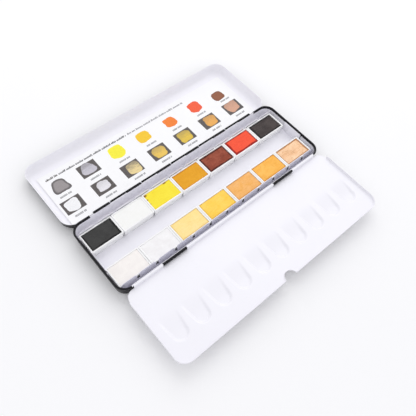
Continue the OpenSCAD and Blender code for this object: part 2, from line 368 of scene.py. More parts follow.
def fit(piece, body, slot, *nodes):
    """The piece rides on a body and stands for the nodes, which it hides. slot is not used."""
    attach(piece, body)
    if nodes:
        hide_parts(*nodes)
    return piece


class Solid:
    """Vertices and faces of one piece, each face with the number of its material."""

    def __init__(self):
        self.vertices = []
        self.faces = []
        self.numbers = []

    def add_rings(self, rings, numbers, first_cap=None, last_cap=None):
        """Joins rings of points by quads; a cap number closes the first or last ring."""
        start = len(self.vertices)
        count = len(rings[0])
        for ring in rings:
            self.vertices.extend(np.asarray(ring).tolist())
        for level in range(len(rings) - 1):
            low = start + level * count
            high = low + count
            for i in range(count):
                after = (i + 1) % count
                self.faces.append((low + i, low + after, high + after, high + i))
                number = numbers[level] if isinstance(numbers, list) else numbers
                self.numbers.append(number)
        if first_cap is not None:
            self.faces.append(tuple(start + i for i in reversed(range(count))))
            self.numbers.append(first_cap)
        if last_cap is not None:
            last = start + (len(rings) - 1) * count
            self.faces.append(tuple(last + i for i in range(count)))
            self.numbers.append(last_cap)

    def add_bar(self, low, high, soft, number=0):
        """A box with soft edges, from corner to corner."""
        low, high = np.array(low, float), np.array(high, float)
        middle = (low + high) / 2
        half = (high - low) / 2
        points, normals = outline(half[0], half[1], soft * 1.5, corner_steps=3)
        steps = ((soft, 0), (soft * 0.3, soft * 0.3), (0, soft))
        profile = [(inset, low[2] + up) for inset, up in steps]
        profile += [(inset, high[2] - down) for inset, down in reversed(steps)]
        self.add_rings(sweep(points, normals, profile, middle[:2]), number, number, number)

    def add_knuckle(self, x0, x1, centre, radius):
        """A rolled sheet-metal knuckle along X, with rounded ends and an open bore."""
        steps = 28
        turn = -np.pi / 2 - np.linspace(0, 2 * np.pi, steps, endpoint=False)
        circle = np.column_stack([np.cos(turn), np.sin(turn)])
        bore = KNUCKLE_BORE
        soft = 0.12
        profile = [
            (x0 + soft, bore), (x0, bore + soft), (x0, radius - soft), (x0 + soft, radius),
            (x1 - soft, radius), (x1, radius - soft), (x1, bore + soft), (x1 - soft, bore),
        ]
        rings = []
        for x, r in profile + profile[:1]:
            rings.append(np.column_stack([np.full(steps, x), centre[1:] + circle * r]))
        self.add_rings(rings, 0)

    def piece(self, name, materials, **options):
        return make_piece(
            name, self.vertices, self.faces, materials, self.numbers, **options
        )


def outline(half_x, half_y, r, x_stops=(), y_stops=(), corner_steps=10):
    """Points and outward normals, anticlockwise round a rectangle with round corners.

    Its straight sides have further points at the stops.
    """
    straight = np.array([half_x - r, half_y - r])
    corners = [(1, 1), (-1, 1), (-1, -1), (1, -1)]
    spare = 0.2
    x_inner = [x for x in sorted(x_stops) if abs(x) < straight[0] - spare]
    y_inner = [y for y in sorted(y_stops) if abs(y) < straight[1] - spare]
    sides = [
        ([(x, half_y) for x in reversed(x_inner)], (0, 1)),
        ([(-half_x, y) for y in reversed(y_inner)], (-1, 0)),
        ([(x, -half_y) for x in x_inner], (0, -1)),
        ([(half_x, y) for y in y_inner], (1, 0)),
    ]
    points, normals = [], []
    for quarter, (corner, (side, side_normal)) in enumerate(zip(corners, sides)):
        for step in range(corner_steps + 1):
            angle = math.radians(90 * (quarter + step / corner_steps))
            normal = np.array([math.cos(angle), math.sin(angle)])
            points.append(straight * corner + r * normal)
            normals.append(normal)
        points.extend(np.array(point, float) for point in side)
        normals.extend(np.array(side_normal, float) for _ in side)
    return np.array(points), np.array(normals)


def arc(centre, r, start, end, steps):
    """Points of an arc in a profile, by angle in degrees."""
    angles = np.radians(np.linspace(start, end, steps + 1))
    return [(centre[0] + r * math.cos(a), centre[1] + r * math.sin(a)) for a in angles]


def sweep(points, normals, profile, middle=(0, 0)):
    """Rings for a profile of (inset, height) pairs, or of such pairs per point."""
    rings = []
    for inset, height in profile:
        ring = points - normals * np.reshape(inset, (-1, 1)) + np.array(middle)
        rings.append(np.column_stack([ring, np.broadcast_to(height, len(ring))]))
    return rings


def smooth_step(value):
    """From 0 to 1, with a level start and end."""
    value = np.clip(value, 0, 1)
    return value * value * value * (value * (value * 6 - 15) + 10)


def stops(low, high, step):
    """Even stops from low to high, about a step apart."""
    return list(np.linspace(low, high, int(round((high - low) / step)) + 1))


# ---- Base ----

BLACK, WHITE = 0, 1
LID_KNUCKLE_COUNT = 11
LID_PLAY = 0.8
BASE_CORNER_R = 9
BASE_EDGE_R = 2.0
BEAD_END_GAP = 4
# How far the black goes down inside, under the rim
BLACK_DEPTH = 2.3


def lid_knuckle_spans(first):
    """Ends along X of every second knuckle of the lid hinge, from number first on."""
    pitch = 2 * LID_HINGE_HALF / LID_KNUCKLE_COUNT
    for i in range(first, LID_KNUCKLE_COUNT, 2):
        start = -LID_HINGE_HALF + i * pitch + KNUCKLE_GAP / 2
        yield start, start + pitch - KNUCKLE_GAP


def make_base(materials):
    """The base: soft-edged box with a rolled rim at its ends and round its corners."""
    solid = Solid()
    bead_end = LID_HINGE_HALF + BEAD_END_GAP
    near_end = [bead_end + step for step in (-0.8, -0.4, 0, 0.1)]
    x_stops = stops(-100, 100, 5) + near_end + [-x for x in near_end]
    points, normals = outline(*BASE_HALF, BASE_CORNER_R, x_stops, stops(-24, 24, 4), 14)
    at_back = points[:, 1] > BASE_HALF[1] - 0.1
    at_front = points[:, 1] < 0.1 - BASE_HALF[1]
    # The rim is rolled where bead is 1 and plain where it is 0
    bead = np.ones(len(points))
    bead[at_back & (np.abs(points[:, 0]) < bead_end)] = 0
    bead[at_front & (np.abs(points[:, 0]) < BASE_HALF[0] - BASE_CORNER_R - 0.1)] = 0

    edge = BASE_EDGE_R
    profile = [(2 * edge, 0.0)] + arc((edge, edge), edge, -90, -180, 6)
    profile += [(0, 5.0), (0, 9.0)]
    numbers = [BLACK] * (len(profile) - 1)
    first = len(profile)
    steps = 18
    rolled = arc((SHEET - BEAD_R, BASE_RIM - BEAD_R), BEAD_R, -63.6, -360, steps)
    outer_steps = 8
    plain = [(0, BASE_RIM - 1.8 + 0.22 * i) for i in range(outer_steps)]
    plain += arc((SHEET / 2, BASE_RIM - SHEET / 2), SHEET / 2, 180, 0, 6)
    inner_steps = steps + 1 - len(plain)
    plain += [(SHEET, BASE_RIM - SHEET / 2 - 0.2 * (i + 1)) for i in range(inner_steps)]
    for (rolled_d, rolled_z), (plain_d, plain_z) in zip(rolled, plain):
        inset = bead * rolled_d + (1 - bead) * plain_d
        height = bead * rolled_z + (1 - bead) * plain_z
        profile.append((inset, height))
        numbers.append(BLACK)
    profile += [(SHEET, BASE_RIM - BLACK_DEPTH), (SHEET, BASE_RIM - 4.2)]
    numbers += [BLACK, WHITE]
    inner = arc((edge, edge), edge - SHEET, 180, 270, 6)
    profile += [(SHEET, 6.0)] + inner + [(2 * edge, SHEET)]
    numbers += [WHITE] * (len(inner) + 2)
    solid.add_rings(sweep(points, normals, profile), numbers, BLACK, WHITE)
    # The pale inside runs over the plain wall's top, and up to the rolled rim elsewhere
    count = len(points)
    after = np.roll(bead, -1)
    for level in range(first + outer_steps, first + steps + 1):
        for i in range(count):
            if bead[i] + after[i] < 2:
                solid.numbers[level * count + i] = WHITE

    for x0, x1 in lid_knuckle_spans(0):
        solid.add_knuckle(x0, x1, LID_HINGE, LID_KNUCKLE_R)
        low = (x0 + 0.05, BASE_HALF[1] - 0.48, LID_HINGE[2] + 0.4)
        solid.add_bar(low, (x1 - 0.05, LID_HINGE[1] - 0.7, BASE_RIM + 0.15), 0.2)
    for side in (-1, 1):
        x0 = side * BASE_KNUCKLE_X - BASE_KNUCKLE_HALF
        x1 = side * BASE_KNUCKLE_X + BASE_KNUCKLE_HALF
        solid.add_knuckle(x0, x1, PALETTE_HINGE, KNUCKLE_R)
        low = (x0 + 0.05, PALETTE_HINGE[1] + 0.7, PALETTE_HINGE[2] - 1.95)
        solid.add_bar(low, (x1 - 0.05, 0.2 - BASE_HALF[1], PALETTE_HINGE[2] - 0.25), 0.08)
    return fit(solid.piece("base_shell", materials), "base", "black_enamel", "base_tray")


# ---- Lid and its card ----

LID_CORNER_R = 11.5
LID_EDGE_R = 5.0
LID_DRAFT = 0.6


def lid_edge(r, start, end):
    """The lid's soft edge, in profile: an arc that leans in, most at the lid's floor."""
    middle = (LID_EDGE_R, LID_LOW[2] + LID_EDGE_R)
    points = arc(middle, r, start, end, 10)
    return [(d + LID_DRAFT * (1 - (z - LID_LOW[2]) / LID_EDGE_R * 0.25), z) for d, z in points]


def make_lid(materials):
    """The lid: a shallow tray with large soft edges and a thin rim."""
    solid = Solid()
    depth = LID_HIGH[1] - LID_NEAR
    middle = (0, (LID_HIGH[1] + LID_NEAR) / 2)
    x_stops, y_stops = stops(-100, 100, 5), stops(-24, 24, 4)
    points, normals = outline(LID_HIGH[0], depth / 2, LID_CORNER_R, x_stops, y_stops, 14)
    floor = LID_LOW[2]
    flat = 8.0
    below_rim = ((0.15, LID_RIM - 1.5), (0.05, LID_RIM - 0.8))
    profile = [(flat, floor)] + lid_edge(LID_EDGE_R, -90, -180)
    profile += below_rim
    numbers = [BLACK] * (len(profile) - 1)
    top = arc((SHEET / 2, LID_RIM - SHEET / 2), SHEET / 2, 180, 0, 6)
    profile += top
    numbers += [BLACK] + [WHITE] * (len(top) - 1)
    inner = lid_edge(LID_EDGE_R - SHEET, 180, 270)
    profile += [(SHEET + d, z) for d, z in reversed(below_rim)]
    profile += inner + [(flat, floor + SHEET)]
    numbers += [WHITE] * (len(inner) + 3)
    solid.add_rings(sweep(points, normals, profile, middle), numbers, BLACK, WHITE)
    for x0, x1 in lid_knuckle_spans(1):
        # The lid sits to the right on its pin: the play shows at each knuckle's left end
        x0 += LID_PLAY
        solid.add_knuckle(x0, x1, LID_HINGE, LID_KNUCKLE_R)
        low = (x0 + 0.05, LID_NEAR, LID_RIM - 0.35)
        solid.add_bar(low, (x1 - 0.05, LID_NEAR + 0.45, LID_HINGE[2] - 0.7), 0.08)
    return fit(solid.piece("lid_shell", materials), "lid", "black_enamel", "lid")


CARD_TOP = CARD_HIGH[2]
CARD_CORNER_R = 1.5
# The curled end of the card: how high it goes, where it starts and how long it is
CURL, CURL_START, CURL_LENGTH = 0.5, -95, 11
# Print reaches from SUNK below the card's top to FILM above it
SUNK, FILM = 0.05, 0.02
SAMPLE_PITCH = 30.75
SAMPLE_FIRST = -94.9
SAMPLE_ROWS = {"far": 82.35, "near": 59.3}
PATCH_HALF = (9.2, 7.2)
CAPTION_DROP, CAPTION_HALF, CAPTION_SIZE = 11.1, 5.3, 1.9
# The inks of the print, and where each ink's part of the title starts and ends
DARK, GREY, PALE = 0, 1, 2
TITLE = ((-101, -90, DARK), (-88, -16, GREY), (-14, 52, PALE))
TITLE_Y, TITLE_SIZE = 93.7, 2.2


def lifted(vertices):
    """The card and all on it curl up a little at its left end."""
    vertices = np.array(vertices)
    along = np.clip((CURL_START - vertices[:, 0]) / CURL_LENGTH, 0, 1)
    vertices[:, 2] += CURL * along ** 2
    return vertices.tolist()


def make_card(material):
    """The colour card, lying in the lid."""
    corner, soft = CARD_CORNER_R, 0.06
    low, high = CARD_LOW + (0, soft, 0), CARD_HIGH - (0, soft, 0)
    turned = [corner * (1 - math.cos(a)) for a in np.radians(np.linspace(8, 90, 8))]
    columns = [low[0] + t for t in turned] + stops(low[0] + 2.5, high[0] - 2.5, 2)
    columns += [high[0] - t for t in reversed(turned)]
    rings = []
    for x in columns:
        past = corner - min(corner, x - low[0], high[0] - x)
        cut = corner - math.sqrt(max(corner * corner - past * past, 0))
        near, far = low[1] + cut, high[1] - cut
        bottom, top = low[2], high[2]
        side = [(far, bottom), (far + soft, bottom + soft), (far + soft, top - soft), (far, top)]
        side += [(near, top), (near - soft, top - soft), (near - soft, bottom + soft)]
        side.append((near, bottom))
        rings.append([(x, y, z) for y, z in side])
    solid = Solid()
    solid.add_rings(rings, 0, 0, 0)
    solid.vertices = lifted(solid.vertices)
    return fit(solid.piece("card", [material]), "lid", "card", "colour_card")


STROKE_SLANT = 0.22
STROKE_GAP = 0.13
WORD_GAP = 0.35
STROKE_HEIGHTS = (0.7, 0.7, 0.76, 1.0)


def add_words(solid, start, end, y, size, number, chance, heights=STROKE_HEIGHTS):
    """A line of blank strokes in place of words, from start to end along X."""
    foot = y - size / 2
    x = start
    while x < end:
        word_end = min(end, x + size * chance.uniform(1.6, 4.6))
        while x < word_end:
            wide = size * chance.uniform(0.3, 0.5)
            high = size * chance.choice(heights)
            slant = STROKE_SLANT * high
            stroke = [(x, foot), (x + wide, foot)]
            stroke += [(x + wide + slant, foot + high), (x + slant, foot + high)]
            rings = []
            for z in (CARD_TOP - SUNK, CARD_TOP + FILM):
                rings.append([(across, up, z) for across, up in stroke])
            solid.add_rings(rings, number, number, number)
            x += wide + size * STROKE_GAP
        x += size * WORD_GAP


def make_print(materials):
    """The card's print: dark patches, and blank strokes for the title and captions."""
    solid = Solid()
    chance = random.Random(5)
    far = PATCH_HALF[1]
    patch = [(far, -SUNK), (far, FILM), (-far, FILM), (-far, -SUNK)]
    for row, y in SAMPLE_ROWS.items():
        for i in PAN_NUMBERS:
            x = SAMPLE_FIRST + SAMPLE_PITCH * (i - 1)
            # Pale paints lie on a dark patch
            if row == "near" or i == 2:
                rings = []
                for across in np.linspace(-PATCH_HALF[0], PATCH_HALF[0], 13):
                    rings.append([(x + across, y + up, CARD_TOP + z) for up, z in patch])
                solid.add_rings(rings, DARK, DARK, DARK)
            left, right = x - CAPTION_HALF, x + CAPTION_HALF
            caption_y = y - CAPTION_DROP
            add_words(solid, left, right, caption_y, CAPTION_SIZE, PALE, chance, (0.9, 1.0))
    for start, end, number in TITLE:
        add_words(solid, start, end, TITLE_Y, TITLE_SIZE, number, chance)
    solid.vertices = lifted(solid.vertices)
    return fit(solid.piece("card_print", materials), "lid", None)


SQUARENESS = 3.6


def make_sample(row, number, shift, half, taper, material):
    """A brushed-out sample of paint: squarish, uneven, thin, with a raised dried edge."""
    middle = np.array([SAMPLE_FIRST + SAMPLE_PITCH * (number - 1), SAMPLE_ROWS[row]])
    middle = middle + shift
    seed = number * 3.7 + (20 if row == "far" else 0)
    shape = []
    for angle in np.linspace(0, 2 * np.pi, 96, endpoint=False):
        c, s = math.cos(angle), math.sin(angle)
        reach = (abs(c) ** SQUARENESS + abs(s) ** SQUARENESS) ** (-1 / SQUARENESS)
        reach *= 1 + 0.16 * noise.noise(Vector((c * 1.3 + seed, s * 1.3, seed)))
        reach *= 1 + 0.05 * noise.noise(Vector((c * 5 + seed, s * 5, seed)))
        shape.append((reach * c, reach * s))
    shape = np.array(shape)
    shape[:, 0] *= 1 + taper * shape[:, 1]
    # How far out each ring is, as a part of the shape, and its height over the card
    levels = [(1, -SUNK), (1, 0.05), (0.985, 0.07), (0.95, 0.085), (0.9, 0.08)]
    levels += [(part, 0.07) for part in (0.82, 0.7, 0.55, 0.4, 0.25, 0.1)]
    rings, margin, far = [], [], []
    for part, lift in levels:
        ring = shape * part * half + middle
        rings.append(np.column_stack([ring, np.full(len(ring), CARD_TOP + lift)]))
        margin += [part] * len(ring)
        far += (0.5 + 0.5 * shape[:, 1] * part).tolist()
    solid = Solid()
    solid.add_rings(rings, 0, 0, 0)
    solid.vertices = lifted(solid.vertices)
    attributes = {"margin": margin, "far": far}
    piece = solid.piece(f"sample_{row}_{number}", [material], attributes=attributes)
    return fit(piece, "lid", None)


# ---- Insert ----

TAB_COUNT = 12
TAB_PITCH = 18.6
TAB_LEAN_FROM = 6.5
TAB_CORNER_R = 2.0
# A slot narrows from its top to a neck, and ends in a hole
SLOT_DEPTH = 6.4
SLOT_TOP_HALF = 2.9
SLOT_NECK_HALF = 0.8
SLOT_NECK_RISE = 1.5
SLOT_HOLE_R = 1.4
INSERT_SHEET = 0.4
TAB_SHEET = 0.25
INSERT_FLOOR = INSERT_LOW[2]
TAB_TOP = INSERT_HIGH[2]
FRONT_TAB_RISE = 0.8
END_FLANGE_HALF = 10.5
END_FLANGE_TOP = box("pan_back_1")[1][2] + 1.1
# The insert's materials: pale enamel, a near-black finish that paints shadow in the slots and at
# the flanges' near edges, and a darker enamel that paints shade on the front tab wall
PALE_ENAMEL, PAINTED_SHADOW, SHADED_FRONT_ENAMEL = 0, 1, 2


def add_tab_wall(solid, outer, inward, half_length, lean, top, finish):
    """A side wall of spring tabs.

    outer is the Y of its outside face, inward the sign of its inner side, and lean how
    far the tabs' tops lean in.
    """
    slots = [(i - TAB_COUNT / 2) * TAB_PITCH for i in range(1, TAB_COUNT)]
    hole_r = SLOT_HOLE_R
    hole_z = top - SLOT_DEPTH + hole_r
    low_z = hole_z - hole_r
    neck_z = hole_z + SLOT_NECK_RISE

    def wall_y(z, depth):
        lift = np.clip((z - TAB_LEAN_FROM) / (top - TAB_LEAN_FROM), 0, 1)
        thinned = 1 - (1 - TAB_SHEET / INSERT_SHEET) * lift
        return outer + inward * (lean * lift ** 1.6 + depth * thinned)

    # The edge of a slot from its top to the hole's bottom: distance from the middle, and height
    slot = [(SLOT_TOP_HALF, top), (SLOT_TOP_HALF - 0.35, top - 0.08)]
    wide, high = SLOT_TOP_HALF - 0.62, top - 0.3
    slot.append((wide, high))
    for part in (0.25, 0.5, 0.75, 1):
        half = wide + (SLOT_NECK_HALF - wide) * part
        slot.append((half, high + (neck_z - high) * part))
    for a in np.radians(np.linspace(30, -90, 10)):
        slot.append((hole_r * math.cos(a), hole_z + hole_r * math.sin(a)))
    bend = TAB_CORNER_R
    corner = [(bend, top)]
    for a in np.radians(np.linspace(10, 90, 8)):
        corner.append((bend * (1 - math.sin(a)), top - bend * (1 - math.cos(a))))
    corner += [(0, z) for z in np.linspace(top - bend - 0.4, low_z, 8)]

    # Each tab, with half a slot on each side, is a strip of levels between two edges
    across = 9
    base_z = INSERT_FLOOR + 0.2
    foot = (low_z - 1.5, (low_z + base_z) / 2 - 0.5, base_z)
    bounds = [-half_length] + slots + [half_length]
    for left, right in zip(bounds[:-1], bounds[1:]):
        edges = []
        for x, side in ((left, 1), (right, -1)):
            edge = [(x + side * cut, z) for cut, z in (slot if x in slots else corner)]
            edges.append(edge + [(x, z) for z in foot])
        # A ring per level: along the outside and back along the inside
        rings = []
        for (x0, z0), (x1, z1) in zip(*edges):
            xs, zs = np.linspace(x0, x1, across), np.linspace(z0, z1, across)
            outside = np.column_stack([xs, wall_y(zs, 0), zs])
            inside = np.column_stack([xs, wall_y(zs, INSERT_SHEET), zs])
            rings.append(np.vstack([outside, inside[::-1]])[::-inward])
        first = len(solid.faces)
        solid.add_rings(rings[::-1], finish, finish, finish)
        # The sides of the necks and holes are near-black: painted shadow in the slots
        for level, (_, z) in enumerate(edges[0][:0:-1]):
            if low_z < z < neck_z + 0.1:
                for side in (across - 1, 2 * across - 1):
                    solid.numbers[first + level * 2 * across + side] = PAINTED_SHADOW


def make_insert(materials):
    """The lift-out insert: a floor, two walls of spring tabs and two end flanges."""
    solid = Solid()
    half = (INSERT_HIGH - INSERT_LOW)[:2] / 2
    middle = (INSERT_HIGH + INSERT_LOW)[:2] / 2
    points, normals = outline(half[0], half[1], 5, stops(-105, 105, 5), stops(-22, 22, 4), 8)
    low, high = INSERT_FLOOR, INSERT_FLOOR + INSERT_SHEET
    profile = [(0.12, low), (0, low + 0.12), (0, high - 0.12), (0.12, high), (1.0, high)]
    solid.add_rings(sweep(points, normals, profile, middle), PALE_ENAMEL, 0, 0)
    near, far = middle[1] - half[1], middle[1] + half[1]
    wall_half = half[0] - TAB_CORNER_R
    front_top = TAB_TOP + FRONT_TAB_RISE
    # The front tab wall gets the darker enamel: painted shade
    add_tab_wall(solid, near, 1, wall_half, 0.66, front_top, SHADED_FRONT_ENAMEL)
    add_tab_wall(solid, far, -1, wall_half, 0.3, TAB_TOP, PALE_ENAMEL)
    near, far = middle[1] - END_FLANGE_HALF, middle[1] + END_FLANGE_HALF
    top = END_FLANGE_TOP
    for side in (-1, 1):
        x0, x1 = sorted((side * (half[0] - INSERT_SHEET), side * half[0]))
        solid.add_bar((x0, near, low + 0.1), (x1, far, top), 0.12)
        # A near-black bar at the flange's near edge: painted shadow of the gap there
        corner = (x1 - 0.05, near + 0.2, top - 0.2)
        solid.add_bar((x0 + 0.05, near - 0.4, low + 1), corner, 0.1, PAINTED_SHADOW)
    return fit(solid.piece("insert", materials), "insert", "white_enamel", "insert_tray")


# ---- Palette ----

WELL_COUNT = 10
WELL_PITCH = 21.3
WELL_START = 67.0
WELL_LENGTH = 25.5
WELL_R = 7.3
WELL_OPEN_HALF = 9.5
WELL_DEPTH = 1.8
WELL_WALL = 2.9
WELL_RAMP = 19
NOTCH_R = 6.5
# Distances from the X axis towards the front. Shut, the front edge clears the lid's wall.
PALETTE_FRONT = -PALETTE_LOW[1] - 0.2
PALETTE_BACK = -PALETTE_HINGE[1] + LEAF_START
PALETTE_TOP = BASE_RIM - 3.2 + SHEET
PALETTE_RIM = PALETTE_TOP + 2.4
RIM_START = -PALETTE_HINGE[1] + 8.4
PALETTE_FRONT_R, PALETTE_BACK_R = 9.0, 7.6


def well_depth(x, y):
    """Depth of the palette's wells at points in plan."""
    nearest = np.round(x / WELL_PITCH - 0.5)
    nearest = np.clip(nearest, -WELL_COUNT / 2, WELL_COUNT / 2 - 1) + 0.5
    across = np.abs(x - nearest * WELL_PITCH)
    down = -y - WELL_START
    round_at = WELL_LENGTH - WELL_R
    half = WELL_OPEN_HALF + (WELL_R - WELL_OPEN_HALF) * np.clip(down / round_at, 0, 1)
    from_round = WELL_R - np.hypot(across, down - round_at)
    inside = np.where(down > round_at, from_round, half - across)
    wall = smooth_step((inside + 0.35) / WELL_WALL)
    ramp = np.clip(down / WELL_RAMP, 0, 1)
    return WELL_DEPTH * wall * ramp * ramp * (3 - 2 * ramp)


def palette_columns(flat_half):
    """Places along X of the palette's points, closer together at corners and notch."""
    corner = PALETTE_FRONT_R
    turned = np.radians(np.linspace(0, 90, 25)[1:])
    notch = [NOTCH_R * math.sin(a) for a in np.radians(np.linspace(-90, 90, 33))]
    side = stops(NOTCH_R, flat_half - corner, 0.55)
    right = side[1:] + [flat_half - corner * (1 - math.sin(a)) for a in turned]
    return np.array([-x for x in reversed(right)] + notch + right)


def make_palette(material):
    """The mixing palette: pressed sheet with slanted wells and a turned-up rim."""
    rim_fillet = 0.5
    inset = SHEET + rim_fillet
    flat_half = PALETTE_HIGH[0] - inset
    flat_front = PALETTE_FRONT - inset
    columns = palette_columns(flat_half)
    rows = 150

    def edge_y(x, r, straight):
        past = np.clip(np.abs(x) - (flat_half - r), 0, r)
        return straight - (r - np.sqrt(np.maximum(r * r - past * past, 0)))

    front = edge_y(columns, PALETTE_FRONT_R, flat_front)
    in_notch = np.abs(columns) < NOTCH_R
    notch = PALETTE_FRONT - np.sqrt(np.maximum(NOTCH_R**2 - columns**2, 0)) - 0.4
    front = np.where(in_notch, np.minimum(front, notch), front)
    back = -edge_y(columns, PALETTE_BACK_R, -PALETTE_BACK)
    along = np.linspace(0, 1, rows)
    x = np.repeat(columns[:, None], rows, axis=1)
    y = -(back[:, None] + (front - back)[:, None] * along[None, :])
    z = PALETTE_TOP - well_depth(x, y)
    vertices = np.stack([x, y, z], axis=2).reshape(-1, 3).tolist()
    faces = []
    for i in range(len(columns) - 1):
        for j in range(rows - 1):
            a = i * rows + j
            faces.append((a, a + 1, a + rows + 1, a + rows))

    # The outline, from the left rim's start round the front to the right rim's start
    last = len(columns) - 1
    edge = [j for j in range(1, rows)] + [i * rows + rows - 1 for i in range(1, last)]
    edge += [last * rows + j for j in range(rows - 1, 0, -1)]
    edge = [k for k in edge if vertices[k][1] < -RIM_START]
    place = np.array([vertices[k][:2] for k in edge])
    ahead = np.roll(place, -1, axis=0) - np.roll(place, 1, axis=0)
    ahead[0] = place[1] - place[0]
    ahead[-1] = place[-1] - place[-2]
    outward = np.column_stack([ahead[:, 1], -ahead[:, 0]])
    outward /= np.linalg.norm(outward, axis=1)[:, None]
    rim = []
    for a in np.radians([22, 45, 68, 90]):
        rim.append((rim_fillet * math.sin(a), rim_fillet * (1 - math.cos(a))))
    rim += [(rim_fillet, 1.2), (rim_fillet, PALETTE_RIM - PALETTE_TOP)]
    # The rim is low in the notch
    low_rim = np.abs(place[:, 0]) < NOTCH_R - 0.01
    rise = np.where(low_rim, 0.25, 1)
    reach = np.where(low_rim, 0.8, 1)
    previous = edge
    for out, up in rim:
        start = len(vertices)
        ring = place + outward * out * reach[:, None]
        vertices += np.column_stack([ring, PALETTE_TOP + up * rise]).tolist()
        current = list(range(start, len(vertices)))
        for k in range(len(edge) - 1):
            faces.append((previous[k], current[k], current[k + 1], previous[k + 1]))
        previous = current
    piece = make_piece("palette_sheet", vertices, faces, [material], smooth_angle=40)
    thicken = piece.modifiers.new("sheet", "SOLIDIFY")
    thicken.thickness = SHEET * MM
    thicken.offset = -1
    thicken.use_even_offset = True
    return fit(piece, "palette", "white_enamel", "mixing_palette")


def make_palette_knuckles(material):
    """The palette's three knuckles, each on a strip that rises from its sheet."""
    inner = BASE_KNUCKLE_X - BASE_KNUCKLE_HALF - KNUCKLE_GAP
    outer = BASE_KNUCKLE_X + BASE_KNUCKLE_HALF + KNUCKLE_GAP
    spans = [(-PALETTE_HINGE_HALF, -outer), (-inner, inner), (outer, PALETTE_HINGE_HALF)]
    solid = Solid()
    for x0, x1 in spans:
        solid.add_knuckle(x0, x1, PALETTE_HINGE, KNUCKLE_R)
        low = (x0 + 0.02, PALETTE_HINGE[1] - 0.75, PALETTE_TOP - SHEET)
        high = (x1 - 0.02, PALETTE_HINGE[1] - 0.3, PALETTE_HINGE[2] - 0.72)
        solid.add_bar(low, high, 0.06)
    return fit(solid.piece("palette_knuckles", [material]), "palette", "white_enamel")


# ---- Pans and cakes of paint ----

PAN_LIP = 2.1
PAN_STEP = 0.5
PAN_LIP_OUT = 0.1
PAN_CORNER_R = 1.2
PAINT_CORNER_R = 0.8
# How far a cake's sides go down
CAKE_SIDE = 1.6


def make_pan(row, number, material):
    """A moulded pan: plain body, standing lip, rounded rim and a drafted hollow."""
    node = f"pan_{row}_{number}"
    low, high = box(node)
    half = (high - low)[:2] / 2 + (PAN_LIP_OUT, 0)
    top = high[2]
    points, normals = outline(half[0], half[1], PAN_CORNER_R, corner_steps=6)
    paint_low, paint_high = box(f"paint_{row}_{number}")
    wall = half - (paint_high - paint_low)[:2] / 2
    # The rim is wider at the ends than along the sides
    along = np.abs(normals[:, 0])
    rim = wall[0] * along + wall[1] * (1 - along)
    step = PAN_STEP
    lip = top - PAN_LIP
    profile = [
        (step + 0.95, low[2]), (step + 0.62, low[2] + 0.1), (step + 0.5, low[2] + 0.4),
        (step + 0.12, lip - 0.2), (step, lip - 0.04), (step - 0.1, lip), (0.12, lip + 0.02),
        (0.02, lip + 0.12), (0, top - 0.35), (0.06, top - 0.14), (0.2, top - 0.03), (0.36, top),
        (rim - 0.28, top), (rim - 0.1, top - 0.05), (rim - 0.02, top - 0.2), (rim, top - 0.5),
        (rim + 0.05, top - 2.2),
    ]
    solid = Solid()
    solid.add_rings(sweep(points, normals, profile, (high + low)[:2] / 2), 0, 0, 0)
    piece = solid.piece(node.replace("pan", "moulded_pan"), [material])
    return fit(piece, node, "pan_plastic", node)


def closer(count, part):
    """Places from -1 to 1, closer together near both ends."""
    turn = np.linspace(-1, 1, count) * math.pi / 2 * part
    return np.sin(turn) / math.sin(math.pi / 2 * part)


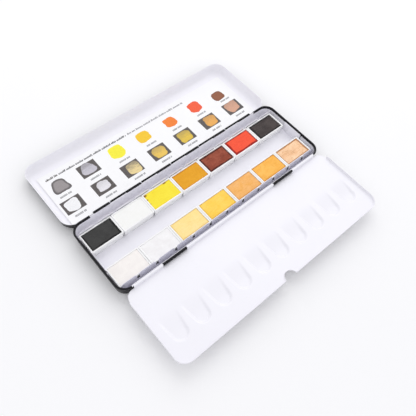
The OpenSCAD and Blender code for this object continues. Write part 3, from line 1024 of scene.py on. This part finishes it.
def make_cake(row, number, material, relief, sink, rims, seed, smudges):
    """A cake of paint, uneven by relief. Its edges have sunk, over the widths in rims.

    Each smudge has a place, in parts of the cake's half size, and a size.
    """
    node = f"paint_{row}_{number}"
    low, high = box(node)
    half = (high - low)[:2] / 2 - 0.03
    middle = (high + low)[:2] / 2
    columns, rows = 73, 43
    u, v = closer(columns, 0.92), closer(rows, 0.88)
    x, y = np.meshgrid(u * half[0], v * half[1], indexing="ij")
    # Round the four corners
    corner = PAINT_CORNER_R
    past_x = np.abs(x) - (half[0] - corner)
    past_y = np.abs(y) - (half[1] - corner)
    reach = np.hypot(np.maximum(past_x, 0), np.maximum(past_y, 0))
    pull = corner / np.maximum(reach, corner)
    rounded = (past_x > 0) & (past_y > 0) & (pull < 1)
    x = np.where(rounded, np.sign(x) * (half[0] - corner + past_x * pull), x)
    y = np.where(rounded, np.sign(y) * (half[1] - corner + past_y * pull), y)
    height = np.zeros(x.shape)
    shift = seed * 7.31
    for i in range(columns):
        for j in range(rows):
            a, b = x[i, j], y[i, j]
            wave = noise.noise(Vector((a * 0.16 + shift, b * 0.2, shift)))
            ripple = noise.noise(Vector((a * 0.5, b * 1.6 + shift, shift)))
            grit = noise.noise(Vector((a * 2.6 + shift, b * 2.6, 0)))
            height[i, j] = relief * (0.6 * wave + 0.3 * ripple + 0.14 * grit)
    uneven = 0.8 + 0.5 * height / relief
    margin = np.zeros(x.shape)
    for distance, width in zip((half[0] + x, half[0] - x, half[1] + y, half[1] - y), rims):
        margin = np.maximum(margin, 1 - smooth_step(distance / (width * uneven)))
    z = high[2] + 0.3 + np.minimum(height - (0.32 + sink * margin), -0.02)
    smudge = np.zeros(x.shape)
    for spot_x, spot_y, size in smudges:
        across = (x - spot_x * half[0]) / size
        along = (y - spot_y * half[1]) / (0.55 * size)
        smudge = np.maximum(smudge, 1 - smooth_step(np.hypot(across, along) - 0.2))
    vertices = np.stack([x + middle[0], y + middle[1], z], axis=2).reshape(-1, 3).tolist()
    faces = []
    for i in range(columns - 1):
        for j in range(rows - 1):
            a = i * rows + j
            faces.append((a, a + rows, a + rows + 1, a + 1))
    loop = [i * rows for i in range(columns)]
    loop += [(columns - 1) * rows + j for j in range(1, rows)]
    loop += [i * rows + rows - 1 for i in range(columns - 2, -1, -1)]
    loop += range(rows - 2, 0, -1)
    start = len(vertices)
    vertices += [(*vertices[k][:2], high[2] - CAKE_SIDE) for k in loop]
    for k in range(len(loop)):
        after = (k + 1) % len(loop)
        faces.append((loop[k], start + k, start + after, loop[after]))
    faces.append(tuple(start + k for k in reversed(range(len(loop)))))
    # Deeper edges are darker, and the sides darkest
    margin = margin.reshape(-1) * min(1, 2.2 * sink)
    attributes = {
        "margin": np.append(margin, np.full(len(loop), min(1, 2.6 * sink))),
        "smudge": np.append(smudge, np.zeros(len(loop))),
    }
    name = node.replace("paint", "cake")
    piece = make_piece(name, vertices, faces, [material], None, 60, attributes)
    return piece, node


make_camera()

# ---- Finishes ----

black_enamel = enamel("black_enamel", linear(20, 19, 24), 0.2, 0.34, 0.1, 0.22, 0.0)
white_enamel = enamel("white_enamel", linear(248, 247, 252), 0.26, 0.42, 0.012)
insert_enamel = enamel("insert_enamel", linear(244, 243, 249), 0.26, 0.42, 0.012)
# Darker enamel for the front tab wall: painted shade on faces turned away from the light
shaded_front_enamel = enamel("shaded_front_enamel", linear(226, 225, 237), 0.26, 0.42, 0.012)
# Near-black finish for the slot sides and the flanges' near edges: painted shadow
painted_shadow_edge = enamel("painted_shadow_edge", linear(46, 45, 52), 0.4, 0.6, 0.1, 0.3, 0.0)
pan_plastic = plastic("pan_plastic", linear(252, 252, 251))
card_paper = paper("card", linear(252, 252, 252))
steel_wire = steel("steel_wire", linear(185, 188, 196))
dark_ink = ink("dark_ink", linear(92, 87, 85))
grey_ink = ink("grey_ink", linear(88, 88, 90))
pale_ink = ink("pale_ink", linear(152, 152, 155))

make_base([black_enamel, white_enamel])
make_lid([black_enamel, white_enamel])
make_card(card_paper)
make_print([dark_ink, grey_ink, pale_ink])
make_palette(white_enamel)
make_palette_knuckles(white_enamel)
for pin in ("lid_hinge_pin", "palette_hinge_pin"):
    data = frame["nodes"][pin].data
    data.materials.clear()
    data.materials.append(steel_wire)
make_insert([insert_enamel, painted_shadow_edge, shaded_front_enamel])

# Paints of the back row's pans, then of the front row's: colour and that colour darker and
# lighter, pearl, streaks, relief, how far the edges have sunk, and how wide they are at the
# left, right, near and far sides
PAINTS = (
    ("charcoal", (54, 54, 53), (14, 14, 14), (62, 62, 61),
     0, 0.2, 0.10, 0.45, (2.2, 3.7, 3.1, 1.2)),
    ("white", (248, 248, 244), (232, 232, 228), (250, 250, 247),
     0, 0.1, 0.12, 0.05, (0.5, 0.5, 0.5, 0.5)),
    ("yellow", (252, 231, 54), (228, 186, 14), (254, 238, 66),
     0, 0.12, 0.15, 0.15, (2.2, 0.8, 1.2, 0.9)),
    ("ochre", (232, 162, 20), (190, 118, 8), (238, 170, 30),
     0, 0.15, 0.12, 0.2, (1.9, 0.8, 1.6, 2.2)),
    ("brick", (142, 62, 38), (80, 26, 14), (168, 86, 62),
     0, 0.5, 0.3, 0.45, (3.7, 2.8, 3.4, 3.1)),
    ("vermilion", (252, 84, 52), (150, 20, 8), (255, 92, 58),
     0, 0.12, 0.2, 0.45, (4.7, 1.9, 4.0, 2.2)),
    ("umber", (58, 50, 49), (26, 21, 21), (76, 67, 65),
     0, 0.5, 0.35, 0.45, (5.0, 1.2, 2.8, 2.8)),
    ("pearl_white", (243, 238, 234), (232, 226, 222), (249, 245, 240),
     0.5, 0.12, 0.12, 0.08, (1.4, 1.2, 1.4, 0.8)),
    ("silver_white", (238, 236, 236), (226, 224, 224), (246, 245, 245),
     0.5, 0.12, 0.12, 0.05, (1.4, 0.6, 1.4, 0.6)),
    ("pale_gold", (251, 223, 142), (228, 186, 96), (253, 228, 160),
     0.7, 0.25, 0.14, 0.2, (1.6, 1.6, 1.6, 1.2)),
    ("yellow_gold", (250, 204, 72), (218, 162, 36), (252, 214, 100),
     0.8, 0.3, 0.16, 0.22, (1.7, 1.1, 1.9, 1.4)),
    ("copper_gold", (238, 174, 88), (204, 132, 40), (242, 186, 118),
     0.9, 0.4, 0.2, 0.25, (1.7, 1.2, 1.9, 1.7)),
    ("orange_gold", (242, 176, 70), (206, 132, 30), (248, 190, 92),
     0.9, 0.3, 0.18, 0.25, (1.7, 1.2, 1.9, 1.9)),
    ("rose_gold", (238, 192, 148), (186, 126, 72), (252, 218, 180),
     1.0, 0.6, 0.35, 0.4, (1.6, 3.1, 1.6, 2.8)),
)
SMUDGES = {
    ("back", 3): (
        (-0.93, 0.86, 2.6), (-0.99, 0.35, 1.5), (-0.99, -0.2, 1.0), (0.6, 0.97, 2.6),
        (0.85, 1.0, 1.4),
    ),
}
SMUDGE = linear(140, 84, 30)
CARD_PATCH = linear(110, 105, 102)

# Their samples on the card: colour, shift from its place, half size, taper, wet edge, thin part
SAMPLES = (
    ((160, 154, 154), (1.6, 0.0), (7.1, 7.5), -0.16, 0.34, 0.0),
    ((206, 203, 212), (-0.2, 0.9), (6.1, 6.4), -0.3, 0.95, 0.5),
    ((255, 245, 66), (-0.1, 0.5), (7.0, 7.4), 0.04, 0.97, 0.0),
    ((254, 207, 52), (-0.8, -0.2), (6.9, 6.4), 0.02, 0.94, 0.0),
    ((252, 136, 56), (-0.5, -1.1), (6.3, 5.8), 0.0, 0.95, 0.0),
    ((252, 100, 64), (0.1, -0.7), (6.4, 6.5), 0.08, 0.92, 0.0),
    ((152, 96, 70), (-2.2, -3.3), (6.2, 5.7), 0.03, 0.78, 0.0),
    ((246, 246, 247), (-0.6, 0.0), (6.6, 6.1), 0.06, 0.97, 0.0),
    ((234, 232, 236), (0.4, 0.4), (6.1, 5.0), -0.04, 0.94, 0.2),
    ((238, 216, 156), (1.9, -0.4), (6.3, 6.5), 0.0, 0.95, 0.75),
    ((238, 200, 92), (0.5, -0.1), (6.5, 6.1), 0.03, 0.92, 0.4),
    ((230, 196, 72), (-0.2, -0.3), (6.5, 6.3), 0.03, 0.92, 0.4),
    ((238, 176, 88), (1.4, 0.0), (6.2, 6.1), 0.0, 0.92, 0.35),
    ((218, 167, 140), (0.1, 0.8), (6.9, 6.6), 0.06, 0.92, 0.25),
)
sample_places = [(row, number) for row in SAMPLE_ROWS for number in PAN_NUMBERS]
for (row, number), paint, sample in zip(sample_places, PAINTS, SAMPLES):
    colour, shift, half, taper, wet_edge, thin = sample
    pearl = 0.6 if row == "near" else 0.0
    finish = wash("sample_" + paint[0], linear(*colour), CARD_PATCH, pearl, wet_edge, thin)
    make_sample(row, number, shift, half, taper, finish)

pan_places = [(row, number) for row in ROWS for number in PAN_NUMBERS]
for seed, ((row, number), paint) in enumerate(zip(pan_places, PAINTS)):
    name, colour, dark, light, pearl, streak, relief, sink, rims = paint
    smudges = SMUDGES.get((row, number), ())
    shades = [linear(*shade) for shade in (colour, dark, light)]
    finish = cake("paint_" + name, *shades, pearl, streak, SMUDGE if smudges else None)
    make_pan(row, number, pan_plastic)
    piece, node = make_cake(row, number, finish, relief, sink, rims, seed, smudges)
    fit(piece, f"pan_{row}_{number}", "paint_" + name, node)

# ---- Floor and light, in metres ----

FLOOR_HALF = 3.0
WORLD_STRENGTH = 0.88
KEY_PLACE = (0.75, 0.75, 1.0)
KEY_SIZE = 1.4
KEY_POWER = 6


def make_stage():
    """A plain pale floor under the object."""
    size = FLOOR_HALF
    corners = [(-size, -size, 0), (size, -size, 0), (size, size, 0), (-size, size, 0)]
    mesh = bpy.data.meshes.new("floor")
    mesh.from_pydata(corners, [], [(0, 1, 2, 3)])
    floor = new_object("floor", mesh)
    shader = Shader("floor", roughness=0.7, specular_ior_level=0.2)
    white = linear(253, 253, 253)
    clouds = shader.span(shader.noise(3, 2), 0.3, 0.7)
    shader.colour(shader.mix(clouds, white, scaled(white, 0.99)))
    mesh.materials.append(shader.material)


def make_lights():
    """Soft light from all round, and a weak key light."""
    world = bpy.data.worlds.new("studio")
    world.use_nodes = True
    back = world.node_tree.nodes["Background"]
    back.inputs["Color"].default_value = (0.97, 0.97, 1.0, 1)
    back.inputs["Strength"].default_value = WORLD_STRENGTH
    bpy.context.scene.world = world
    data = bpy.data.lights.new("key", "AREA")
    data.size = KEY_SIZE
    data.energy = KEY_POWER
    light = new_object("key", data)
    light.location = KEY_PLACE
    light.rotation_euler = (-Vector(KEY_PLACE)).to_track_quat("-Z", "Y").to_euler()


make_stage()
make_lights()
bpy.context.scene.view_settings.view_transform = "Standard"
